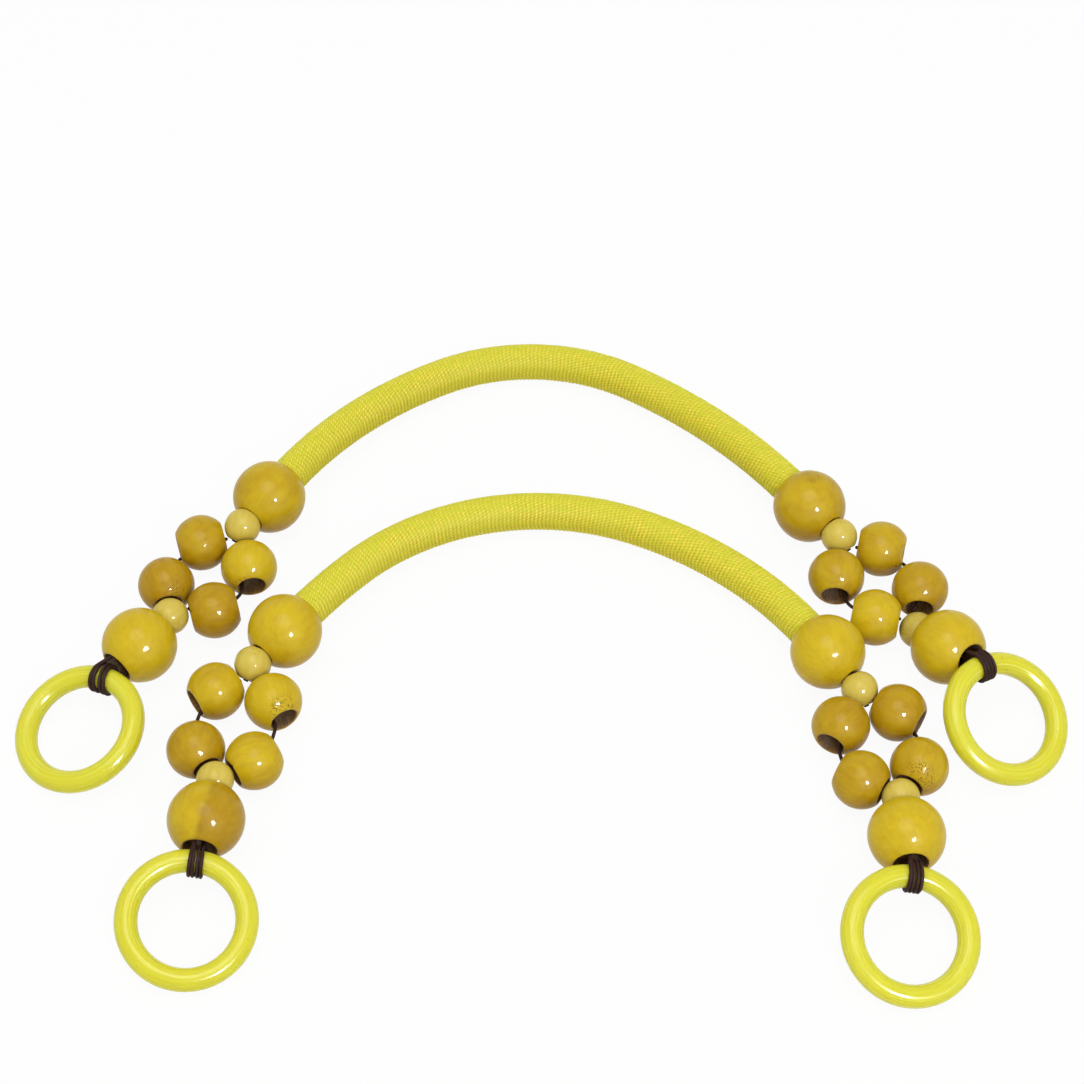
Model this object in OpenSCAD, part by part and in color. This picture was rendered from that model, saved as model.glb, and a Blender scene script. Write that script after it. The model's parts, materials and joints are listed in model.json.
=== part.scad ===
// A pair of beaded bag handles, laid flat one behind the other.
// Each handle is a fabric-covered grip with a chain of wooden beads and a resin ring at both ends.
// Lists of four run: back left, back right, front left, front right.
// Headings are compass angles in the table plane: 0 points to +X, -90 towards the viewer.

/* [Beads] */
// Diameter of the collar beads and ring beads
large_bead_d = 25; // [22:0.5:30]
// Bore through a large bead
large_bore_d = 10.8; // [9.6:0.2:11.4]
// Diameter of the four beads of a loop
loop_bead_d = 19.2; // [17:0.2:20]
// Bore through a loop bead
loop_bore_d = 9; // [8:0.5:11]
// Diameter of the spacer beads
spacer_bead_d = 12.4; // [12:0.2:14]
// Bore through a spacer bead
spacer_bore_d = 4.4; // [3.6:0.2:6]
// Rounding of the edges of the large and loop bores
bore_edge_r = 0.6; // [0.2:0.1:1]
// Rounding of the edges of the spacer bores
spacer_edge_r = 0.3; // [0.1:0.1:0.6]
// Gap between pieces that rest against each other
seat_gap = 0.2; // [0.1:0.05:0.4]

/* [Grip] */
// Outside diameter of the fabric sleeve
grip_d = 13; // [11:0.2:15]
// Thickness of the fabric sleeve
sleeve_wall = 1.1; // [0.6:0.1:1.6]
// Gap between the sleeve and its core
core_fit = 0.2; // [0.1:0.05:0.4]
// Bore of the core tube
core_bore_d = 4; // [3.4:0.2:6]
// Gap round the sleeve in a collar bead's socket
socket_fit = 0.15; // [0.1:0.05:0.4]
// Distance from a collar bead's centre to the floor of its socket
socket_floor = 4; // [3:0.5:6]
// Straight length of the grip, measured from a collar bead's centre
grip_straight = 12; // [11:0.5:16]
// Radius of the back grip's left flank, middle and right flank
back_grip_r = [133, 69, 186]; // [50:1:400]
// Sweep of the back grip's left flank, middle and right flank
back_grip_sweep = [31, 58, 22.5]; // [5:0.5:80]
// Radius of the front grip's left flank, middle and right flank
front_grip_r = [200, 86, 126]; // [50:1:400]
// Sweep of the front grip's left flank, middle and right flank
front_grip_sweep = [6.5, 68, 34]; // [5:0.5:80]

/* [Cord] */
// Diameter of the cord
cord_d = 1.2; // [0.8:0.1:1.4]
// Gap between the two runs of the doubled cord, and between the turns of a lashing
cord_gap = 0.5; // [0.45:0.05:0.8]
// How far a loop strand bulges out past the centres of its beads
strand_bulge = 5.4; // [4.5:0.1:6.5]
// Distance between the turns of the cord's knot
knot_pitch = 1; // [0.7:0.05:1.1]
// Number of turns in the cord's knot
knot_turns = 3; // [2:1:4]

/* [Ring] */
// Inside diameter of a ring
ring_hole_d = 30; // [26:0.5:36]
// Thickness of a ring
ring_section_d = 7.4; // [6:0.2:8.4]
// Passes of the lashing over the outside of the ring
lashing_passes = 4; // [2:1:5]
// Gap between the lashing and the ring, which lets the ring turn
lashing_fit = 0.5; // [0.4:0.05:0.8]

/* [Layout on the table] */
// Middle of the back handle's chord: x and y
back_place = [-0.8, 55.9]; // [-150:0.1:150]
// Heading of the back handle's chord
back_heading = -1.2; // [-30:0.1:30]
// Middle of the front handle's chord: x and y
front_place = [4.7, -1.4]; // [-150:0.1:150]
// Heading of the front handle's chord
front_heading = -2.6; // [-30:0.1:30]
// How far each near spacer hangs below the bore of its collar bead
spacer_drop = [0.5, 0.9, 1.4, 2.4]; // [0:0.1:2.6]
// Heading of each bead loop, away from its grip
loop_heading = [-121, -54.5, -102, -75.5]; // [-150:0.5:-30]
// Distance between the centres of a loop's outer and inner beads
loop_w = [19.8, 19.7, 19.7, 19.7]; // [19.6:0.1:23]
// Distance between the centres of a loop's near and far beads
loop_l = [20.4, 20.4, 22.8, 20.9]; // [19.6:0.1:23]
// Heading of each ring bead's bore, towards its ring
ring_bead_heading = [-128.5, -51, -96.5, -88.5]; // [-160:0.5:-20]
// Rise of each ring bead's bore towards its ring, in degrees
ring_bead_rise = [0, 23, 2, 6.5]; // [0:0.5:24]
// Heading of each ring, from its lashing to its centre
ring_heading = [-112.5, -65, -97, -95]; // [-160:0.5:-20]
// Roll of each ring about its own heading, in degrees
ring_roll = [-10.5, 11, 8, 10.5]; // [-20:0.5:20]

/* [Hidden] */
$fn = 72;

large_r = large_bead_d / 2;
large_bore_r = large_bore_d / 2;
loop_r = loop_bead_d / 2;
loop_bore_r = loop_bore_d / 2;
spacer_r = spacer_bead_d / 2;
grip_r = grip_d / 2;
sleeve_bore_d = grip_d - 2 * sleeve_wall;
cord_r = cord_d / 2;
cord_step = cord_d + cord_gap;
ring_r = ring_section_d / 2;
ring_mid_r = ring_hole_d / 2 + ring_r;
run_trim = seat_gap / 4;
joint_swell = seat_gap / 4;
band_length = grip_straight / 5;

bead_yellow = [0.78, 0.60, 0.15];
spacer_yellow = [0.85, 0.74, 0.30];
sleeve_lemon = [0.86, 0.84, 0.24];
ring_lemon = [0.88, 0.87, 0.25];
core_grey = [0.80, 0.80, 0.76];
cord_brown = [0.17, 0.10, 0.08];

HANDLES = ["back", "front"];
ENDS = ["back_left", "back_right", "front_left", "front_right"];
GRIP_PIECES = ["grip_sleeve", "grip_core", "grip_cord", "cord_knot"];
END_PIECES = [
    "collar_bead", "near_spacer_bead", "near_spacer_cord", "loop_strands",
    "near_outer_bead", "near_inner_bead", "far_outer_bead", "far_inner_bead",
    "far_spacer_bead", "far_spacer_cord", "ring_bead", "lashing", "ring"
];

// Vectors
function unit(v) = v / norm(v);
function flat(v) = [v.x, v.y];
function heading(a) = [cos(a), sin(a)];
function raised(v2, z) = [v2.x, v2.y, z];
function turn_x(v, a) = [v.x, v.y * cos(a) - v.z * sin(a), v.y * sin(a) + v.z * cos(a)];
function turn_z(v, a) = [v.x * cos(a) - v.y * sin(a), v.x * sin(a) + v.y * cos(a), v.z];

// Grip centre-line: a middle arc, a flank arc at each side and a straight run into each collar bead.
// Its own plane has the middle of the middle arc at the origin and the arc bulging to +Y.
// Side is -1 at the left and 1 at the right.
GRIP_R = [back_grip_r, front_grip_r];
GRIP_SWEEP = [back_grip_sweep, front_grip_sweep];
PLACE = [back_place, front_place];
PLACE_HEADING = [back_heading, front_heading];
function flank(side) = side < 0 ? 0 : 2;
function half_sweep(h) = GRIP_SWEEP[h][1] / 2;
function end_turn(h, side) = half_sweep(h) + GRIP_SWEEP[h][flank(side)];
function middle_centre(h) = [0, -GRIP_R[h][1]];
function flank_ray(h, side) = [side * sin(half_sweep(h)), cos(half_sweep(h))];
function end_ray(h, side) = [side * sin(end_turn(h, side)), cos(end_turn(h, side))];
function flank_centre(h, side) =
    middle_centre(h) + (GRIP_R[h][1] - GRIP_R[h][flank(side)]) * flank_ray(h, side);
function flank_start(h, side) = middle_centre(h) + GRIP_R[h][1] * flank_ray(h, side);
function flank_end(h, side) =
    flank_centre(h, side) + GRIP_R[h][flank(side)] * end_ray(h, side);
function flank_way(h, side) = [side * cos(half_sweep(h)), -sin(half_sweep(h))];
function end_way(h, side) = [side * cos(end_turn(h, side)), -sin(end_turn(h, side))];
function grip_end(h, side) = flank_end(h, side) + grip_straight * end_way(h, side);

// The grip lies with its collar beads and the middle of its arc on the table.
function chord(h) = grip_end(h, 1) - grip_end(h, -1);
function chord_middle(h) = (grip_end(h, 1) + grip_end(h, -1)) / 2;
function chord_turn(h) = atan2(chord(h).y, chord(h).x);
function chord_normal(h) = [-sin(chord_turn(h)), cos(chord_turn(h))];
function grip_height(h) = (middle_centre(h) - chord_middle(h)) * chord_normal(h) + GRIP_R[h][1];
function grip_tilt(h) = asin((large_r - grip_r) / grip_height(h));
function grip_turned(h, v) = turn_z(turn_x(turn_z(v, -chord_turn(h)), -grip_tilt(h)), PLACE_HEADING[h]);
function grip_to_table(h, p) =
    [PLACE[h].x, PLACE[h].y, large_r] + grip_turned(h, raised(p - chord_middle(h), 0));

module grip_frame(h) {
    translate([PLACE[h].x, PLACE[h].y, large_r])
        rotate([0, 0, PLACE_HEADING[h]])
            rotate([-grip_tilt(h), 0, 0])
                rotate([0, 0, -chord_turn(h)])
                    translate(-raised(chord_middle(h), 0))
                        children();
}

// Bead chain of each end: a piece is placed from the one before it.
EACH_END = [0:3];
handle_of = [0, 0, 1, 1];
side_of = [-1, 1, -1, 1];
function sphere_seat(r, hole_r) = sqrt(r * r - hole_r * hole_r);
// Distance along a bore from a bead's centre to a spacer that sits on the bore's edge, off its axis
function edge_seat(r, bore_r, off) =
    sphere_seat(r, bore_r) + sphere_seat(spacer_r + seat_gap, bore_r - off);
spacer_seat = edge_seat(large_r, large_bore_r, 0);
strand_start = spacer_r + cord_r + seat_gap;

collar_at = [for (e = EACH_END) grip_to_table(handle_of[e], grip_end(handle_of[e], side_of[e]))];
collar_way = [
    for (e = EACH_END) grip_turned(handle_of[e], raised(end_way(handle_of[e], side_of[e]), 0))
];
collar_down = [for (e = EACH_END) unit(collar_way[e] * collar_way[e].z - [0, 0, 1])];
near_spacer_at = [
    for (e = EACH_END)
        collar_at[e]
        + edge_seat(large_r, large_bore_r, spacer_drop[e]) * collar_way[e]
        + spacer_drop[e] * collar_down[e]
];
loop_way = [for (e = EACH_END) raised(heading(loop_heading[e]), 0)];
loop_side = [for (e = EACH_END) raised(heading(loop_heading[e] + side_of[e] * 90), 0)];
far_spacer_z = [for (e = EACH_END) large_r - spacer_seat * sin(ring_bead_rise[e])];
function loop_reach(e, z) =
    loop_l[e] / 2 + sphere_seat(edge_seat(loop_r, loop_bore_r, abs(z - loop_r)), loop_w[e] / 2);
near_reach = [for (e = EACH_END) loop_reach(e, near_spacer_at[e].z)];
far_reach = [for (e = EACH_END) loop_reach(e, far_spacer_z[e])];
loop_at = [for (e = EACH_END) raised(near_spacer_at[e] + near_reach[e] * loop_way[e], loop_r)];
far_spacer_at = [for (e = EACH_END) raised(loop_at[e] + far_reach[e] * loop_way[e], far_spacer_z[e])];
ring_bead_way = [
    for (e = EACH_END)
        raised(heading(ring_bead_heading[e]) * cos(ring_bead_rise[e]), sin(ring_bead_rise[e]))
];
ring_bead_at = [for (e = EACH_END) far_spacer_at[e] + spacer_seat * ring_bead_way[e]];
near_spacer_way = [for (e = EACH_END) unit(collar_way[e] + loop_way[e])];
far_spacer_way = [for (e = EACH_END) unit(loop_way[e] + ring_bead_way[e])];

// Loop beads: row is -1 near the grip and 1 far from it, edge is 1 outside and -1 inside.
function loop_bead_at(e, row, edge) =
    loop_at[e] + row * loop_l[e] / 2 * loop_way[e] + edge * loop_w[e] / 2 * loop_side[e];
function row_spacer_at(e, row) = row < 0 ? near_spacer_at[e] : far_spacer_at[e];
function loop_bore_way(e, row, edge) =
    unit(raised(loop_bead_at(e, row, edge) - row_spacer_at(e, row), 0));

// Loop strands: each is an arc from one spacer to the other, through its two beads.
function strand_end(e, row, edge) =
    let (at = row_spacer_at(e, row))
    at + strand_start * unit(unit(loop_at[e] - at) + unit(loop_bead_at(e, row, edge) - at));
function strand_crest(e, edge) = loop_at[e] + edge * (loop_w[e] / 2 + strand_bulge) * loop_side[e];

// Ring: its slope lets its lowest point rest on the table while it leans on the lashing.
// Reach is the distance from the ring bead's centre to the middle of the ring's thickness.
function ring_slope_at(e, reach) =
    let (k = (large_r + reach * sin(ring_bead_rise[e]) - ring_r) / ring_mid_r)
    let (roll_sq = pow(sin(ring_roll[e]), 2))
    asin((k * k - roll_sq) / (k + sqrt(k * k * (1 - roll_sq) + roll_sq * roll_sq)));
function ring_across(e, slope) =
    cos(ring_roll[e]) * raised(heading(ring_heading[e] + 90), 0)
    - sin(ring_roll[e]) * raised(heading(ring_heading[e]) * sin(slope), cos(slope));
mouth_reach = sphere_seat(large_r, large_bore_r);
flat_reach = mouth_reach + ring_r + seat_gap;
ring_slant = [
    for (e = EACH_END) asin(abs(ring_across(e, ring_slope_at(e, flat_reach)) * ring_bead_way[e]))
];
ring_reach = [
    for (e = EACH_END)
        mouth_reach + (ring_r + seat_gap) / cos(ring_slant[e]) + large_bore_r * tan(ring_slant[e])
];
ring_slope = [for (e = EACH_END) ring_slope_at(e, ring_reach[e])];
lashing_at = [for (e = EACH_END) ring_bead_at[e] + ring_reach[e] * ring_bead_way[e]];
lashing_axis = [for (e = EACH_END) ring_across(e, ring_slope[e])];

// Lashing: one run out along the ring bead's bore, turns round the ring, and one run back.
turn_steps = 24;
lashing_sides = 6;
coil_r = ring_r + lashing_fit + cord_r;
coil_back = [
    for (e = EACH_END) unit(ring_bead_way[e] * lashing_axis[e] * lashing_axis[e] - ring_bead_way[e])
];
coil_up = [for (e = EACH_END) cross(lashing_axis[e], coil_back[e])];
function run_start(e, edge) =
    far_spacer_at[e] + strand_start * ring_bead_way[e] + edge * cord_step / 2 * coil_up[e];
run_bearing = [
    for (e = EACH_END)
        let (v = run_start(e, 1) - lashing_at[e], back = v * coil_back[e], up = v * coil_up[e])
        atan2(up, back) + acos(coil_r / norm([back, up]))
];
coil_span = [for (e = EACH_END) 360 * lashing_passes - 2 * run_bearing[e]];
function coil_point(e, share) =
    let (a = run_bearing[e] + share * coil_span[e])
    lashing_at[e]
    + (share - 0.5) * cord_step * coil_span[e] / 360 * lashing_axis[e]
    + coil_r * (cos(a) * coil_back[e] + sin(a) * coil_up[e]);
coil_steps = [for (e = EACH_END) ceil(coil_span[e] / 360 * turn_steps)];
function lashing_path(e) = concat(
    [run_start(e, 1)],
    [for (i = [0:coil_steps[e]]) coil_point(e, i / coil_steps[e])],
    [run_start(e, -1)]
);
function self_gap(path, apart) = min([
    for (i = [0:len(path) - 1 - apart]) for (j = [i + apart:len(path) - 1]) norm(path[i] - path[j])
]) - cord_d;

// Tube of triangles along a path, with one side of every ring of points square to the axis
module tube(path, r, sides, axis) {
    last = len(path) - 1;
    function way(i) = unit(path[min(i + 1, last)] - path[max(i - 1, 0)]);
    function across(i) = unit(cross(way(i), axis));
    points = [
        for (i = [0:last]) for (j = [0:sides - 1])
            let (a = 360 * j / sides)
            path[i] + r * (cos(a) * across(i) + sin(a) * cross(way(i), across(i)))
    ];
    walls = [
        for (i = [0:last - 1]) for (j = [0:sides - 1])
            let (a = i * sides + j, b = i * sides + (j + 1) % sides)
            each [[a, a + sides, b], [b, a + sides, b + sides]]
    ];
    start_cap = [for (j = [1:sides - 2]) [0, j, j + 1]];
    first = last * sides;
    end_cap = [for (j = [1:sides - 2]) [first, first + j + 1, first + j]];
    polyhedron(points, concat(walls, start_cap, end_cap));
}

// Turns +Z to a direction
module aim(v) {
    rotate([0, acos(v.z / norm(v)), atan2(v.y, v.x)])
        children();
}

// Bead with a straight bore along Z and rounded bore edges
module bead(d, bore_d, edge_r) {
    r = d / 2;
    bore_r = bore_d / 2;
    edge_set = 0.95 * edge_r;
    edge_x = bore_r + edge_set;
    edge_y = sphere_seat(r - edge_set, edge_x);
    rotate_extrude()
        difference() {
            intersection() {
                circle(r);
                translate([bore_r, -d])
                    square([d, 2 * d]);
            }
            for (end = [0, 1])
                mirror([0, end])
                    difference() {
                        polygon([[0, edge_y], [edge_x, edge_y], [edge_x, edge_y] * 2, [0, d]]);
                        translate([edge_x, edge_y])
                            circle(edge_r);
                    }
        }
}

// Round rod along the grip's centre-line, in runs that meet in slightly thicker bands
module arc_run(centre, from, sweep, r, d) {
    trim = run_trim / r * 180 / PI;
    translate(raised(centre, 0))
        rotate([0, 0, from + trim])
            rotate_extrude(angle = sweep - 2 * trim, $fn = 180)
                translate([r, 0])
                    circle(d = d);
}

module straight_run(from, way, length, d) {
    translate(from + run_trim * way)
        aim(way)
            cylinder(h = length - run_trim, d = d);
}

module run_joint(at, way, d) {
    translate(at - band_length / 2 * way)
        aim(way)
            cylinder(h = band_length, d = d + 2 * joint_swell);
}

module grip_rod(h, d, end_length) {
    middle = GRIP_SWEEP[h][1];
    arc_run(middle_centre(h), 90 - middle / 2, middle, GRIP_R[h][1], d);
    for (side = [-1, 1]) {
        from = side < 0 ? 90 + middle / 2 : 90 - end_turn(h, 1);
        arc_run(flank_centre(h, side), from, GRIP_SWEEP[h][flank(side)], GRIP_R[h][flank(side)], d);
        straight_run(raised(flank_end(h, side), 0), raised(end_way(h, side), 0), end_length, d);
        run_joint(raised(flank_start(h, side), 0), raised(flank_way(h, side), 0), d);
        run_joint(raised(flank_end(h, side), 0), raised(end_way(h, side), 0), d);
    }
}

module grip_pipe(h, d, bore_d) {
    length = grip_straight - socket_floor - seat_gap;
    difference() {
        grip_rod(h, d, length);
        grip_rod(h, bore_d, length + sleeve_wall);
    }
}

module grip_sleeve(h) {
    color(sleeve_lemon)
        grip_frame(h)
            grip_pipe(h, grip_d, sleeve_bore_d);
}

module grip_core(h) {
    color(core_grey)
        grip_frame(h)
            grip_pipe(h, sleeve_bore_d - 2 * core_fit, core_bore_d);
}

module grip_cord(h) {
    color(cord_brown)
        grip_frame(h)
            for (edge = [-1, 1])
                translate([0, 0, edge * cord_step / 2])
                    grip_rod(h, cord_d, grip_straight + spacer_seat - strand_start);
}

// Wrapped knot round the doubled cord, in the left collar bead
module cord_knot(h) {
    turn_r = cord_step / 2 + cord_d + seat_gap;
    color(cord_brown)
        translate(collar_at[2 * h])
            aim(collar_way[2 * h])
                rotate_extrude()
                    for (i = [0:knot_turns - 1])
                        translate([turn_r, (i - (knot_turns - 1) / 2) * knot_pitch])
                            circle(cord_r);
}

// Bead chain pieces
module collar_bead(e) {
    color(bead_yellow)
        translate(collar_at[e])
            aim(collar_way[e])
                difference() {
                    bead(large_bead_d, large_bore_d, bore_edge_r);
                    translate([0, 0, -large_bead_d])
                        cylinder(h = large_bead_d - socket_floor, r = grip_r + socket_fit);
                }
}

module spacer_bead(at, way) {
    color(spacer_yellow)
        translate(at)
            aim(way)
                bead(spacer_bead_d, spacer_bore_d, spacer_edge_r);
}

module spacer_cord(at, way) {
    length = 2 * sphere_seat(spacer_r, cord_step / 2 + cord_r);
    color(cord_brown)
        translate(at)
            aim(way)
                for (edge = [-1, 1])
                    translate([0, edge * cord_step / 2, -length / 2])
                        cylinder(h = length, r = cord_r);
}

module near_spacer_bead(e) {
    spacer_bead(near_spacer_at[e], near_spacer_way[e]);
}

module near_spacer_cord(e) {
    spacer_cord(near_spacer_at[e], near_spacer_way[e]);
}

module far_spacer_bead(e) {
    spacer_bead(far_spacer_at[e], far_spacer_way[e]);
}

module far_spacer_cord(e) {
    spacer_cord(far_spacer_at[e], far_spacer_way[e]);
}

module loop_bead(e, row, edge) {
    color(bead_yellow)
        translate(loop_bead_at(e, row, edge))
            aim(loop_bore_way(e, row, edge))
                bead(loop_bead_d, loop_bore_d, bore_edge_r);
}

// Cord along the arc from a through m to b
module arc_cord(a, m, b) {
    to_m = m - a;
    to_b = b - a;
    normal = cross(to_m, to_b);
    lift = cross(normal, to_m) * (to_b * to_b) + cross(to_b, normal) * (to_m * to_m);
    centre = a + lift / (2 * normal * normal);
    x = unit(a - centre);
    z = unit(normal);
    y = cross(z, x);
    sweep = atan2((b - centre) * y, (b - centre) * x);
    multmatrix([
        [x.x, y.x, z.x, centre.x],
        [x.y, y.y, z.y, centre.y],
        [x.z, y.z, z.z, centre.z],
        [0, 0, 0, 1]
    ])
        rotate_extrude(angle = sweep < 0 ? sweep + 360 : sweep)
            translate([norm(a - centre), 0])
                circle(cord_r);
}

module loop_strands(e) {
    color(cord_brown)
        for (edge = [-1, 1])
            arc_cord(strand_end(e, -1, edge), strand_crest(e, edge), strand_end(e, 1, edge));
}

module ring_bead(e) {
    color(bead_yellow)
        translate(ring_bead_at[e])
            aim(ring_bead_way[e])
                bead(large_bead_d, large_bore_d, bore_edge_r);
}

module lashing(e) {
    path = lashing_path(e);
    echo(str(ENDS[e], " lashing, least gap to itself in mm: "), self_gap(path, turn_steps / 2));
    color(cord_brown)
        tube(path, cord_r, lashing_sides, lashing_axis[e]);
}

module ring(e) {
    color(ring_lemon)
        translate(lashing_at[e])
            rotate([0, 0, ring_heading[e]])
                rotate([0, ring_slope[e], 0])
                    rotate([-ring_roll[e], 0, 0])
                        translate([ring_mid_r, 0, 0])
                            rotate_extrude($fn = 120)
                                translate([ring_mid_r, 0])
                                    circle(ring_r);
}

for (h = [0:1]) {
    grip_sleeve(h);
    grip_core(h);
    grip_cord(h);
    cord_knot(h);
}
for (e = [0:3]) {
    collar_bead(e);
    near_spacer_bead(e);
    near_spacer_cord(e);
    loop_strands(e);
    loop_bead(e, -1, 1);
    loop_bead(e, -1, -1);
    loop_bead(e, 1, 1);
    loop_bead(e, 1, -1);
    far_spacer_bead(e);
    far_spacer_cord(e);
    ring_bead(e);
    lashing(e);
    ring(e);
}
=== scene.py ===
"""Pair of beaded bag handles: a fabric grip, bead chains and a resin ring at each end."""
import json
import math

import bpy
import numpy as np
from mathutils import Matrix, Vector


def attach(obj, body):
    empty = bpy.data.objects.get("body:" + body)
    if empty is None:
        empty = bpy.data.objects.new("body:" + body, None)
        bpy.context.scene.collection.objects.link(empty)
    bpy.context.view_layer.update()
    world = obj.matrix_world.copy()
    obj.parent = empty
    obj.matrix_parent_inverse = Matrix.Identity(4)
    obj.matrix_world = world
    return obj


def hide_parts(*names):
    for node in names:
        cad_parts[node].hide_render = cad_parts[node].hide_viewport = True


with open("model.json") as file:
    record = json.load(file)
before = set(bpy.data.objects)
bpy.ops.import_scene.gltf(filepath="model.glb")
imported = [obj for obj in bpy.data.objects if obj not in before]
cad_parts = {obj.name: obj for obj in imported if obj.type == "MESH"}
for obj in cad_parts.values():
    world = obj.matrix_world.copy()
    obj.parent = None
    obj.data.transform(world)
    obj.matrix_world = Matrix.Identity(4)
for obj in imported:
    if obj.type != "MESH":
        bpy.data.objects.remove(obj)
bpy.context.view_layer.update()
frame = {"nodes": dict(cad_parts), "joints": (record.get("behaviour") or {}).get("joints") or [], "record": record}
nodes = frame["nodes"]
joints = {j["name"]: j for j in frame["joints"]}
scene = bpy.context.scene
scene.view_settings.view_transform = "Standard"

MM = 0.001
TAU = 2 * math.pi
PHASE = 6.28  # upper limit of a random phase, in radians
RIGHT = np.array([1.0, 0.0, 0.0])
UP = np.array([0.0, 0.0, 1.0])
ENDS = ["back_left", "back_right", "front_left", "front_right"]

# Sizes in mm, as in the solids
LARGE_R, LARGE_BORE_R = 12.5, 5.4
LOOP_R, LOOP_BORE_R = 9.6, 4.5
SPACER_R, SPACER_BORE_R = 6.2, 2.2
WIDE_EDGE_R, NARROW_EDGE_R = 0.6, 0.3
SOCKET_R, SOCKET_FLOOR, SEAT_GAP = 6.65, 4.0, 0.2
GRIP_R, SLEEVE_INNER_R, GRIP_STRAIGHT = 6.5, 5.42, 12.0
CORD_R, CORD_STEP = 0.6, 1.7
RING_R, RING_MID_R = 3.7, 18.7
STRAND_START = SPACER_R + CORD_R + SEAT_GAP
# Radii and sweeps of the left, middle and right arc, and the place as x, y and heading in degrees
GRIPS = {
    "back": {"r": (133, 69, 186), "sweep": (31, 58, 22.5), "place": (-0.8, 55.9, -1.2)},
    "front": {"r": (200, 86, 126), "sweep": (6.5, 68, 34), "place": (4.7, -1.4, -2.6)},
}

# What only the scene has: sizes in mm, and the shares LASHING_WIDE and SPACER_SLOPE
CORD_MOUTH_R, KNOT_MOUTH_R, CUP_GAP = 2.0, 3.0, 0.22
LASHING_R, LASHING_WIDE, COIL_GAP = 0.74, 0.83, 0.12
STRAND_EXTRA_R, KNOT_LESS_R, GRIP_CORD_INSET = 0.02, 0.1, 2
SPACER_SLOPE = 0.5

# Points along and round each kind of mesh
BEAD_COLS, RIM_ROWS, BALL_ROWS, CUPPED_BALL_ROWS = 96, 7, 48, 110
BORE_ROWS, SOCKET_ROWS, COLLAR_BORE_ROWS = 9, 5, 24
CORD_COLS, GRIP_CORD_ROWS, SPACER_CORD_ROWS, STRAND_ROWS = 28, 160, 14, 90
KNOT_ROWS, COIL_ROWS, RUN_ROWS = 48, 260, 13
RING_ROWS, RING_COLS = 256, 64
RIB_ROWS, STITCH_COLS, LINING_STEP = 4, 4, 24

# Wear, marks and stain of the beads, and their painted shade: depths and lengths in mm, and shares
BROAD_WEAR, BROAD_WAVE = 0.11, 15.0
FINE_WEAR, FINE_WAVE = 0.035, 4.5
FLATS, FLAT_DEPTH, FLAT_LEAST = 2, (0.05, 0.16), 0.2
CHIP_SIZE, CHIP_PLACE, CHIP_DEPTH, CHIP_BARE = (0.5, 1.3), (-0.2, 0.9), (0.12, 0.34), (0.35, 0.8)
CHIP_CORE, CHIP_FLAT, CHIP_WOBBLE, CHIP_WAVE = 0.3, 0.7, 0.25, 1.1
EDGE_BARE, BARE_SHARE, BARE_WAVE = 0.75, 0.6, 2.2
PITS_CORE, KNOT_RINGS, KNOT_CONTRAST = 0.4, 9, 0.35
BAND_CONTRAST, BAND_WAVE, BAND_LIMITS = 0.25, 3.0, (-0.6, 1.2)
GRAIN_LEAN, GRAIN_SPAN = 0.28, 40
# Tone: spread between beads; painted shade, deeper orange on the side that faces down and toward the camera
# (share, limits, side); and the band's shift
TONE_SPREAD, PAINTED_SHADE_TONE, PAINTED_SHADE_LIMITS, BAND_TONE = 0.08, 0.45, (0.0, 0.9), 0.6
PAINTED_SHADE_SIDE = np.array([0.0, -0.6, -0.8])

# Knit: pitch of the ribs in mm, stitches in a round, and how far a stitch moves round from rib to rib
RIB_PITCH, STITCHES = 1.45, 36
STITCH_STEP, STITCH_SLANT = 0.5, 0.9
RIB_WAVE, RIB_WAVES, CROWN_POWER = 0.12, 5, 0.7
INSIDE_TURN, INSIDE_POWER = math.radians(12), 1.3
# Knit outside the bend, and what is added inside it: shares of gaps, depth in mm, shares of gold and of painted
# shade
RIB_GAP, STITCH_GAP = (0.2, 0.7), (0.85, -0.35)
KNIT_DEPTH, KNIT_GOLD, KNIT_SHADE = (0.27, 0.18), (0.3, 0.25), (0.7, 0.3)
# Differences between stitches: depth in mm, and shares of gold and of painted shade
STITCH_DEPTH, STITCH_GOLD, STITCH_SHADE, ODD_RIB_GOLD = 0.04, 0.45, 0.12, 0.15

# Cords: plies in a round, twist in radians per mm, shares of the radius, and rounding passes of a strand
CORD_PLIES, CORD_TWIST, PLY_DEPTH, PLY_FUZZ = 7, 0.10, 0.11, 0.03
CORNER_ROUNDS, COIL_TURNS = 6, 4
CORD_LAY_ROUND, CORD_LAY_ALONG = 1.6, 0.12

# Rings: flats from polishing, their depth in mm and sway in radians, and unevenness in mm
RING_FLATS, RING_FLAT_DEPTH, RING_FLAT_SWAY, RING_UNEVEN = 5, (0.02, 0.07), 0.25, 0.035
RING_LAY_ROUND, RING_LAY_ALONG = 2.0, 0.9

# First seed of each kind of piece
SLEEVE_SEED, GRIP_CORD_SEED, KNOT_SEED, SPACER_CORD_SEED = 11, 20, 30, 40
STRAND_SEED, LASHING_SEED, COLLAR_SEED, LOOP_SEED = 60, 80, 100, 200
SPACER_SEED, RING_BEAD_SEED, RING_SEED = 300, 400, 500

# Camera, at the photograph's angle, in mm
CAMERA_TILT = math.radians(90 - 55.05)
CAMERA_AIM = np.array([0.2, 47.6, 0.0])
CAMERA_DISTANCE = 869.14
CAMERA_LENS, CAMERA_SENSOR, CAMERA_CLIP = 83.1, 36, 10
TO_CAMERA = np.array([0, -math.sin(CAMERA_TILT), math.cos(CAMERA_TILT)])
IMAGE_UP = np.array([0, math.cos(CAMERA_TILT), math.sin(CAMERA_TILT)])

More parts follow.
